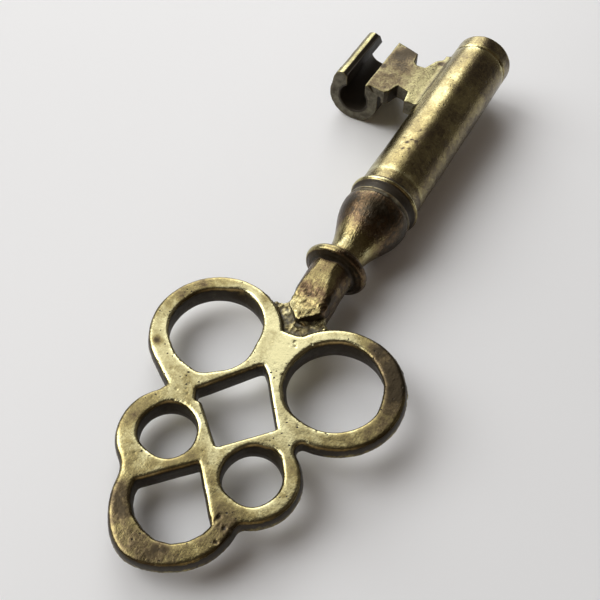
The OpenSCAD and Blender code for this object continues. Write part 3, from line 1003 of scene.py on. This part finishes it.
        # Painted highlight: the baluster's neck is painted brighter and cleaner where it reflects the window
        neck_highlight = np.exp(-((co[:, 0] - 32.5) / 2.6) ** 2)
        shoulder = smoothstep(co[:, 0], self.shoulder_x - 1.6, self.shoulder_x - 0.8)
        shoulder *= away > self.stub_r + 0.5
        seam = np.exp(-((co[:, 0] - self.collar_x + 1.7) / 0.35) ** 2) * (away < self.stem_r_collar + 0.6)
        # Painted shade: the stem's end face, turned away from the window, is painted darker
        end = (co[:, 0] < 17) * smoothstep(-no[:, 0], 0.4, 0.8)
        # The collar's rim is painted brighter on the bit's side, which faces the window, and darker on the
        # other side: painted highlight and painted shade
        rubbed_and_highlit = rim * smoothstep(co[:, 1], -2.5, 2.0)
        polish = 0.34 + 0.36 * flat + 0.3 * rubbed_and_highlit + 0.42 * neck_highlight - 0.15 * seam - 0.3 * end + 0.8 * rise
        stain = 0.25 * sides * (1 - rubbed_and_highlit) + 0.2 * self.brown_at(co) - 0.2 * neck_highlight + 0.2 * (rim - rubbed_and_highlit)
        return polish, 0.1 * sides + 0.6 * shoulder, stain

    def brown_at(self, co: np.ndarray) -> np.ndarray:
        """How brown the shank has gone: in the middle of the flat, and on the baluster's swell."""
        flat = np.exp(-(((co[:, 0] - 17.0) / 1.9) ** 2)) * (co[:, 2] > 2.0)
        swell = np.exp(-(((co[:, 0] - 41.5) / 4.0) ** 2))
        return 1.2 * flat + swell

    def make(self) -> list[bpy.types.Object]:
        """Builds and dresses the shank."""
        piece = Piece("Shank", "shank", Body.HANDLE, "shank_brass", self.finish, self.wear, crisp=True)
        return [piece.settle(self.build())]


@dataclass
class Corkscrew:
    """The plug that the sheath slides on, the steel worm in it and the pin through both."""

    wire_r: float = 1.35
    helix_r: float = 2.85
    pitch: float = 9.4
    turns: float = 4.5
    start_x: float = 42.0
    plug_end_x: float = 54.0
    pin_x: float = 50.25
    pin_r: float = 0.75
    pin_half_l: float = 5.5
    swell_turns: float = 0.8
    taper_turns: float = 0.9
    tip_r: float = 0.2
    steps_per_turn: int = 40
    plug_finish: Brass = Brass("turned_brass_sliding", tarnish=0.2, pits=0.05)
    pin_finish: Brass = Brass("drawn_brass_pin", tarnish=0.4, pits=0.05)
    worm_finish: Steel = Steel("drawn_steel_wire")

    def centre(self, turn: float) -> Vector:
        """The middle of the wire after a number of turns past the plug."""
        share = min(max(turn / self.swell_turns, 0), 1)
        reach = self.helix_r * share * share * (3 - 2 * share)
        angle = 2 * math.pi * turn
        return Vector((self.plug_end_x + self.pitch * turn, reach * math.cos(angle), reach * math.sin(angle)))

    def wire_frame(self, turn: float) -> Matrix:
        """Where a ring of the wire stands after a number of turns past the plug, and how wide it is."""
        ahead = (self.centre(turn + 0.01) - self.centre(turn - 0.01)).normalized()
        angle = 2 * math.pi * max(turn, 0)
        side = ahead.cross(Vector((0, math.cos(angle), math.sin(angle)))).normalized()
        out = side.cross(ahead)
        width = max(self.tip_r, self.wire_r * min(1, (self.turns - turn) / self.taper_turns))
        axes = Matrix((out, side, ahead)).transposed().to_4x4()
        return Matrix.Translation(self.centre(turn)) @ axes @ Matrix.Scale(width, 4)

    def worm(self) -> BMesh:
        """Extrudes a ring of wire along the axis and then along the helix to its point."""
        bm = bmesh.new()
        first = -(self.plug_end_x - self.start_x) / self.pitch
        stations = [first, first / 2, 0.0]
        stations += [i / self.steps_per_turn for i in range(1, round(self.turns * self.steps_per_turn) + 1)]
        verts = bmesh.ops.create_circle(bm, cap_ends=True, segments=20, radius=1)["verts"]
        place = self.wire_frame(stations[0])
        bmesh.ops.transform(bm, matrix=place, verts=verts)
        edges = bm.edges[:]
        for station in stations[1:]:
            verts, edges = drawn_out(bm, edges)
            target = self.wire_frame(station)
            bmesh.ops.transform(bm, matrix=target @ place.inverted(), verts=verts)
            place = target
        bmesh.ops.contextual_create(bm, geom=edges)
        bmesh.ops.recalc_face_normals(bm, faces=bm.faces)
        return bm

    def plug(self) -> BMesh:
        """The spigot as the frame has it, with its corners eased."""
        bm = fused(copy_of("spigot"), 0.16)
        eased(bm, 3)
        rippled(bm, (Ripple(5, 0.03, 1),))
        return bm

    def pin(self) -> BMesh:
        """The cross pin, with hammered round ends."""
        bm = bmesh.new()
        bmesh.ops.create_cone(bm, cap_ends=True, segments=32, radius1=self.pin_r, radius2=self.pin_r,
                              depth=2 * self.pin_half_l, matrix=Matrix.Translation((self.pin_x, 0, 0)))
        rims = [e for e in bm.edges if abs(e.verts[0].co.z - e.verts[1].co.z) < 1e-6]
        bmesh.ops.bevel(bm, geom=rims, offset=0.25, offset_type="OFFSET", affect="EDGES", segments=4,
                        profile=0.5, material=-1)
        return bm

    def plug_wear(self, co: np.ndarray, no: np.ndarray, rise: np.ndarray) -> Wear:
        """Kept bright by the sheath that slides on it, duller on its end faces."""
        return 0.75 + 1.5 * rise - 0.4 * smoothstep(np.abs(no[:, 0]), 0.7, 0.95), 0.0, 0.0

    def hidden_wear(self, co: np.ndarray, no: np.ndarray, rise: np.ndarray) -> Wear:
        """The same all over, because nothing rubs inside the sheath."""
        return 0.6, 0.0, 0.0

    def make(self) -> list[bpy.types.Object]:
        """Builds and dresses the three pieces."""
        plug = Piece("Spigot", "spigot", Body.HANDLE, "spigot_brass", self.plug_finish, self.plug_wear)
        worm = Piece("Corkscrew_worm", "corkscrew", Body.HANDLE, "worm_steel", self.worm_finish,
                     self.hidden_wear)
        pin = Piece("Corkscrew_pin", "corkscrew_pin", Body.HANDLE, "pin_brass", self.pin_finish,
                    self.hidden_wear)
        return [plug.settle(self.plug()), worm.settle(self.worm()), pin.settle(self.pin())]


# The ring, the tube and the cap were turned and worn together, so their surfaces run into each other
SHEATH_RIPPLES = (Ripple(11, 0.1, 6), Ripple(3.4, 0.04, 3))
# The tube turns in the ring, so the seat inside this radius and the seam at this place stay truly round
SEAT_REACH = 7.2
SEAM_X = 53.55
SEAM_FADE = 1.5
# Where the cap meets the tube, the radius outside and inside, and the depth of the line between them
CAP_X = 104.0
SHEATH_R = 7.5
SHEATH_BORE_R = 5.75
CAP_LINE = 0.3


def off_seat(co: Vector) -> float:
    """How much of the sheath's unevenness a place gets: none where tube and ring turn on each other."""
    if math.hypot(co.y, co.z) < SEAT_REACH:
        return 0.0
    return min(abs(co.x - SEAM_X) / SEAM_FADE, 1.0)


def far_side_shade(co: np.ndarray) -> np.ndarray:
    """Painted shade: how much browner the sheath is painted on the side away from the bit, which faces away
    from the window.
    """
    return 0.17 * smoothstep(-co[:, 1], -1.0, 1.8)


def cap_line(co: np.ndarray) -> np.ndarray:
    """How near each vertex lies to the line between the tube and its cap, where dirt collects."""
    return np.exp(-((co[:, 0] - CAP_X) / 0.3) ** 2)


@dataclass
class Mouth:
    """The beaded ring round the sheath's mouth."""

    mouth_x: float = 46.55
    length: float = 7.0
    shoulder_r: float = 7.9
    mouth_r: float = 8.45
    bead_r: float = 0.5
    bead_back: float = 2.7
    seat_r: float = 6.85
    finish: Brass = Brass("turned_brass_ring", tarnish=0.62, pits=0.4, mottle_mm=0.04, pit_mm=0.05)

    def outline(self) -> list[Point]:
        """A short flare, a groove, a round bead and a long slope down to the barrel."""
        x, r = self.mouth_x, self.shoulder_r
        crest_x = x + self.bead_back
        points = [(x, SHEATH_BORE_R), (x, r - 0.3), (x + 0.2, r - 0.45), (x + 0.7, r - 0.5),
                  (x + 1.2, r - 0.4), (x + 1.6, r - 0.15), (crest_x - 0.75, self.mouth_r - 0.35)]
        points += oval((crest_x, self.mouth_r - self.bead_r), (self.bead_r, self.bead_r), 150, 20, 10)
        x, r = self.mouth_x + self.length, SHEATH_R
        step = x - self.length / 2
        points += [(crest_x + 0.6, self.mouth_r - 0.5), (crest_x + 0.75, self.mouth_r - 0.62),
                   (x - 2.2, r + 0.16), (x - 1.0, r + 0.02), (x, r), (x, self.seat_r), (step, self.seat_r),
                   (step, SHEATH_BORE_R)]
        return points

    def wear(self, co: np.ndarray, no: np.ndarray, rise: np.ndarray) -> Wear:
        """Bright on the bead's crest, black in the hollow before it and inside the mouth; the black hollow is
        partly painted shade, and the side away from the window gets painted shade.
        """
        away = np.hypot(co[:, 1], co[:, 2])
        crest = smoothstep(away, self.mouth_r - 0.4, self.mouth_r)
        # The cone before the bead is painted near-black: dirt in the groove, and painted shade for the dark
        # it reflects
        hollow = (co[:, 0] < self.mouth_x + self.bead_back - 0.6) | (away < self.seat_r - 0.5)
        behind = np.exp(-((co[:, 0] - self.mouth_x - self.bead_back - 0.75) / 0.25) ** 2)
        return np.where(hollow, 0.12, 0.5 + 0.3 * crest + 1.5 * rise - 0.4 * behind), 0.0, far_side_shade(co)

    def make(self) -> list[bpy.types.Object]:
        """Builds and dresses the ring."""
        bm = turned(self.outline(), 0.25)
        rippled(bm, SHEATH_RIPPLES, off_seat)
        piece = Piece("Mouth_ring", "mouth_ring", Body.MOUTH, "mouth_brass", self.finish, self.wear,
                      crisp=True)
        return [piece.settle(bm)]


@dataclass
class Barrel:
    """The sheath's tube and the cap that closes its end."""

    seat_x: float = 50.1
    mouth_end_x: float = 53.6
    seat_r: float = 6.8
    end_x: float = 109.1
    edge_r: float = 0.9
    plug_l: float = 3.0
    tube_finish: Brass = Brass("tube_brass_handled", tarnish=0.58, pits=0.5, patchy=0.9, mottled=0.45,
                               grain=0.6, mottle_mm=0.035, pit_mm=0.04, gloss=0.15, scratch_turn=0.0)
    specks: tuple[Stain, ...] = (
        Stain(60.9, 1.5, 0.34, 0.7), Stain(63.2, 1.5, 0.38, 0.8), Stain(64.4, 0.9, 0.3, 0.7),
        Stain(64.3, -0.3, 0.32, 0.6), Stain(61.3, 0.1, 0.28, 0.6), Stain(68.2, 0.4, 0.25, 0.5))
    cap_finish: Brass = Brass("turned_brass_cap", tarnish=0.6, pits=0.4, mottle_mm=0.04, pit_mm=0.05)

    def tube(self) -> BMesh:
        """Turns the tube, with its seat for the mouth ring."""
        outline = [(self.seat_x, SHEATH_BORE_R), (self.seat_x, self.seat_r), (self.mouth_end_x, self.seat_r),
                   (self.mouth_end_x, SHEATH_R), (CAP_X - 0.5, SHEATH_R), (CAP_X - 0.15, SHEATH_R - 0.08),
                   (CAP_X, SHEATH_R - CAP_LINE), (CAP_X, SHEATH_BORE_R)]
        bm = turned(outline, 0.45)
        rippled(bm, SHEATH_RIPPLES, off_seat)
        return bm

    def cap(self) -> BMesh:
        """Turns the cap, with its plug in the tube and its worn rim."""
        points = [(CAP_X - self.plug_l, 0.0), (CAP_X - self.plug_l, SHEATH_BORE_R), (CAP_X, SHEATH_BORE_R),
                  (CAP_X, SHEATH_R - CAP_LINE), (CAP_X + 0.15, SHEATH_R - 0.08), (CAP_X + 0.5, SHEATH_R)]
        edge_at = (self.end_x - self.edge_r, SHEATH_R - self.edge_r)
        points += oval(edge_at, (self.edge_r, self.edge_r), 90, 0, 8)
        points += [(self.end_x - 0.05, SHEATH_R * 0.6), (self.end_x - 0.15, 0.0)]
        bm = turned(points, 0.35)
        rippled(bm, (*SHEATH_RIPPLES, Ripple(2.4, 0.03, 2)))
        return bm

    def tube_wear(self, co: np.ndarray, no: np.ndarray, rise: np.ndarray) -> Wear:
        """Rubbed by the hand all round, dirty in the cap's line and inside the bore, with painted shade on
        the side away from the window.
        """
        away = np.hypot(co[:, 1], co[:, 2])
        stain = far_side_shade(co) + (co[:, 2] > 0) * sum(speck.near(co) for speck in self.specks)
        return np.where(away < SHEATH_R - 0.6, 0.25, 0.6 - 0.45 * cap_line(co) + 1.5 * rise), 0.0, stain

    def cap_wear(self, co: np.ndarray, no: np.ndarray, rise: np.ndarray) -> Wear:
        """Worn bright on the rim, dull on the end face, with painted shade on the side away from the window.
        """
        face = smoothstep(no[:, 0], 0.8, 0.98)
        return 0.5 - 0.4 * cap_line(co) - 0.15 * face + 2.0 * rise, 0.3 * face, far_side_shade(co)

    def make(self) -> list[bpy.types.Object]:
        """Builds and dresses the tube and the cap."""
        tube = Piece("Barrel_tube", "barrel", Body.SHEATH, "barrel_brass", self.tube_finish, self.tube_wear,
                     crisp=True)
        cap = Piece("Barrel_cap", "end_cap", Body.SHEATH, "cap_brass", self.cap_finish, self.cap_wear,
                    crisp=True)
        return [tube.settle(self.tube()), cap.settle(self.cap())]


@dataclass
class Bit:
    """The notched plate and its C-shaped jaw, from the frame's own solid, with brazed fillets."""

    plate_top: float = 3.9
    plate_foot: float = -0.1
    start_x: float = 79.8
    end_x: float = 101.0
    fillet_top: float = 2.5
    fillet_foot: float = 1.2
    jaw_y: float = 24.0
    jaw_z: float = -1.65
    slot_y: float = 20.9
    lip_y: float = 27.4
    lip_z: float = 4.7
    crest_radii: Point = (0.95, 0.75)
    crest_from: float = 0.4
    crest_to: float = 19.3
    square_x: float = 99.2
    break_z: float = -0.4
    break_reach: float = 3.8
    break_fade: float = 2.5
    voxel: float = 0.2
    stains: tuple[Stain, ...] = (
        Stain(95, 18, 2.2, 0.25), Stain(97.2, 7.6, 0.9, 0.5), Stain(89.2, 20.3, 0.7, 0.5),
        Stain(98, 16, 2.0, 0.25), Stain(91, 15.5, 2.0, 0.15))
    finish: Brass = Brass("cast_brass_jaw", aged="#8b855f", tarnish=0.76, pits=0.5, patchy=0.5, mottled=0.4,
                          grain=0.6, mottle_mm=0.045, pit_mm=0.06)

    def fillet(self, level: float, radius: float, up: float) -> Loop:
        """The section of the braze between the plate's face and the barrel.

        Args:
            level: the height of the plate's face.
            radius: the fillet's radius.
            up: 1 for the upper face, -1 for the lower.

        Returns:
            The section in Y and Z.
        """
        z = level + up * radius
        y = math.sqrt((SHEATH_R + radius) ** 2 - z**2)
        touch = bearing((y, z), (0, 0)) % 360
        foot = 270 if up > 0 else 90
        sunk = level - up * 0.8
        return [*arc((y, z), radius, touch, foot, 0.3), (y, sunk), (SHEATH_R - 1.5, sunk)]

    def build(self) -> BMesh:
        """Joins the plate, the jaw and the fillets, and wears their edges."""
        bm = copy_of("bit")
        prism(bm, self.fillet(self.plate_top, self.fillet_top, 1), self.start_x, self.end_x)
        prism(bm, self.fillet(self.plate_foot, self.fillet_foot, -1), self.start_x, self.end_x)
        # The lip's crest is worn to one round, bright edge
        crest = oval((self.lip_y, self.lip_z), self.crest_radii, 0, 360, 24)[:-1]
        prism(bm, crest, self.start_x + self.crest_from, self.start_x + self.crest_to)
        bm = fused(bm, self.voxel)
        eased(bm, 3)
        for vert in bm.verts:
            vert.co.x += self.break_off(vert.co)
        rippled(bm, (Ripple(6, 0.1, 2), Ripple(2.2, 0.05, 6)))
        return bm

    def break_off(self, co: Vector) -> float:
        """How far the broken far end of the jaw's lip reaches past the square end, or falls short of it."""
        if co.x < self.square_x - self.break_fade or co.y < self.slot_y + 4.4:
            return 0.0
        fade = min((co.x - self.square_x + self.break_fade) / self.break_fade, 1)
        top = self.lip_z + 1.1
        if co.z > self.break_z:
            reach = self.break_reach * (top - co.z) / (top - self.break_z) - 0.7
        else:
            reach = -0.9 + 0.55 * (self.break_z - co.z)
        return reach * fade

    def wear(self, co: np.ndarray, no: np.ndarray, rise: np.ndarray) -> Wear:
        """Filed bright on the plate's faces, black inside the jaw's channel, crusted on the jaw's ends."""
        face = smoothstep(np.abs(no[:, 2]), 0.6, 0.95)
        away = np.hypot(co[:, 1] - self.jaw_y, co[:, 2] - self.jaw_z)
        above = co[:, 2] > self.jaw_z
        slot = (co[:, 1] > self.slot_y) & (co[:, 1] < self.slot_y + 5.6) & above & (no[:, 2] < 0.6)
        inner = (no[:, 1] < -0.3) | (co[:, 1] < self.lip_y - 0.7)
        lip = (co[:, 1] > self.slot_y + 4) & inner & above
        inside = (away < 4.3) | (slot | lip) & (np.abs(no[:, 0]) < 0.7)
        ends = smoothstep(np.abs(no[:, 0]), 0.6, 0.9)
        near = 1 - smoothstep(co[:, 1], 9, 15)
        crest = smoothstep(co[:, 1], self.slot_y + 4, self.slot_y + 5) * smoothstep(co[:, 2], 1.0, 4.0)
        polish = 0.2 + (0.28 + 0.22 * near) * face + 0.3 * crest * (1 - ends) - 0.08 * ends + 1.5 * rise
        stain = sum(place.near(co) for place in self.stains)
        return np.where(inside, 0.02, polish), np.where(inside, 0.0, 0.6 * ends), stain

    def make(self) -> list[bpy.types.Object]:
        """Builds and dresses the bit."""
        piece = Piece("Bit_jaw", "bit", Body.SHEATH, "bit_brass", self.finish, self.wear)
        return [piece.settle(self.build())]


@dataclass(frozen=True)
class Glow:
    """A soft bright part of the room: its bearing, height and reach in degrees, its radiance and tint."""

    bearing: float
    height: float
    reach: float
    level: float
    tint: str = "#ffffff"


@dataclass
class Studio:
    """The table, the soft window light and the camera."""

    table_level: float = -8.45
    table_at: Point = (49.2, 0.0)
    table_slope: Point = (-0.0388, 0.05)
    table_size: float = 2.5
    paper: str = "#f2f3f4"
    paper_shade: str = "#e4e5e6"
    camera_at: tuple[float, float, float] = (-76.415, -49.881, 145.431)
    camera_ahead: tuple[float, float, float] = (0.51293, 0.29502, -0.80614)
    camera_up: tuple[float, float, float] = (0.70190, 0.39650, 0.59171)
    lens: float = 51.17
    sensor: float = 36.0
    clip: Point = (0.01, 20.0)
    lamp_aim_x: float = 25.0
    lamp_bearing: float = 38.0
    lamp_height: float = 25.0
    lamp_away: float = 0.9
    lamp_size: Point = (0.65, 0.55)
    lamp_watts: float = 3.4
    glows: tuple[Glow, ...] = (Glow(34, 51, 26, 1.4), Glow(102, 46, 32, 5.3),
                               Glow(205, 30, 40, 0.3, "#ffe4cc"), Glow(-30, 22, 40, 0.12))
    dark_level: float = 0.06
    wall: str = "#ffe4cc"
    backdrop: str = "#ebebea"
    paper_turn: float = -90.0
    paper_from: float = -0.06
    paper_to: float = 0.07

    def table(self) -> bpy.types.Object:
        """A wide sheet of paper that touches the collar, the mouth ring and the jaw."""
        bm = bmesh.new()
        bmesh.ops.create_grid(bm, x_segments=4, y_segments=4, size=self.table_size)
        centre = TO_FRAME @ Vector((*self.table_at, self.table_level))
        lean = Matrix(((1, 0, 0, centre.x), (0, 1, 0, centre.y), (*self.table_slope, 1, centre.z),
                       (0, 0, 0, 1)))
        bmesh.ops.transform(bm, matrix=lean, verts=bm.verts)
        mesh = mesh_of(bm, "Table")
        table = linked("Table", mesh)
        # Plain drawing paper, painted a little greyer on the side that lies away from the window: painted
        # shade
        material, tree = fresh_material("paper_with_painted_shade")
        add = partial(add_node, tree)
        place = add("ShaderNodeTexCoord").outputs["Object"]
        away = self.direction(self.paper_turn, 0)
        aside = add(VECTOR_MATH, DOT_PRODUCT, {0: place, 1: away}).outputs["Value"]
        aside = add(MAP_RANGE, SMOOTH, {0: aside, 1: self.paper_from, 2: self.paper_to}).outputs[0]
        colour = add(MIX, RGBA, {0: aside, 6: linear(self.paper), 7: linear(self.paper_shade)}).outputs[2]
        surface(tree, {"Base Color": colour, "Roughness": 0.95, "Specular IOR Level": 0.2})
        mesh.materials.append(material)
        return table

    @staticmethod
    def direction(turn: float, rise: float) -> Vector:
        """The way towards a bearing and a height, both in degrees."""
        turn, rise = math.radians(turn), math.radians(rise)
        return Vector((math.cos(turn) * math.cos(rise), math.sin(turn) * math.cos(rise), math.sin(rise)))

    def lamp(self) -> bpy.types.Object:
        """The soft window, aimed at the middle of the key."""
        aim = TO_FRAME @ Vector((self.lamp_aim_x, 0, 0))
        away = self.direction(self.lamp_bearing, self.lamp_height)
        light = bpy.data.lights.new("Window", "AREA")
        light.shape = "RECTANGLE"
        light.size, light.size_y = self.lamp_size
        light.energy = self.lamp_watts
        lamp = linked("Window", light)
        facing = away.to_track_quat("Z", "Y").to_matrix().to_4x4()
        lamp.matrix_world = Matrix.Translation(aim + away * self.lamp_away) @ facing
        return lamp

    def room(self) -> None:
        """A room bright on the window's side and dark elsewhere, with brown walls that warm the shadows."""
        world = bpy.data.worlds.new("Room")
        bpy.context.scene.world = world
        world.use_nodes = True
        tree = world.node_tree
        tree.nodes.clear()
        add = partial(add_node, tree)
        facing = add("ShaderNodeTexCoord").outputs["Generated"]
        light = tuple(self.dark_level * part for part in linear(self.wall)[:3])
        for glow in self.glows:
            toward = self.direction(glow.bearing, glow.height)
            side = add(VECTOR_MATH, DOT_PRODUCT, {0: facing, 1: toward}).outputs["Value"]
            rim = math.cos(math.radians(glow.reach))
            part = add(MAP_RANGE, SMOOTH, {0: side, 1: rim, 2: 1.0, 3: 0.0, 4: glow.level}).outputs[0]
            light = add(VECTOR_MATH, MULTIPLY_ADD, {0: part, 1: linear(glow.tint)[:3], 2: light}).outputs[0]
        seen = add("ShaderNodeLightPath").outputs["Is Camera Ray"]
        colour = add(MIX, RGBA, {0: seen, 6: light, 7: linear(self.backdrop)}).outputs[2]
        back = add("ShaderNodeBackground", None, {0: colour, 1: 1.0})
        add("ShaderNodeOutputWorld", None, {0: back.outputs[0]})

    def camera(self) -> None:
        """The photograph's viewpoint, worked out from the bow's and the barrel's outlines."""
        data = bpy.data.cameras.new("Camera")
        data.sensor_width = self.sensor
        data.lens = self.lens
        data.clip_start, data.clip_end = self.clip
        camera = linked("Camera", data)
        ahead, up = Vector(self.camera_ahead).normalized(), Vector(self.camera_up).normalized()
        axes = Matrix((ahead.cross(up), up, -ahead)).transposed().to_4x4()
        camera.matrix_world = Matrix.Translation(TO_FRAME @ Vector(self.camera_at)) @ axes
        bpy.context.scene.camera = camera

    def make(self) -> None:
        """Sets everything up."""
        self.camera()
        self.table()
        self.lamp()
        self.room()
        bpy.context.scene.view_settings.view_transform = "Standard"


def main() -> None:
    """Builds the key and the studio round the frame."""
    logging.basicConfig(level=logging.INFO, format="%(name)s: %(message)s")
    Studio().make()
    made = 0
    for assembly in (Bow(), Shank(), Corkscrew(), Mouth(), Barrel(), Bit()):
        pieces = assembly.make()
        made += len(pieces)
        LOG.info("%s done", type(assembly).__name__)
    LOG.info("%d pieces", made)


if __name__ == "__main__":
    main()
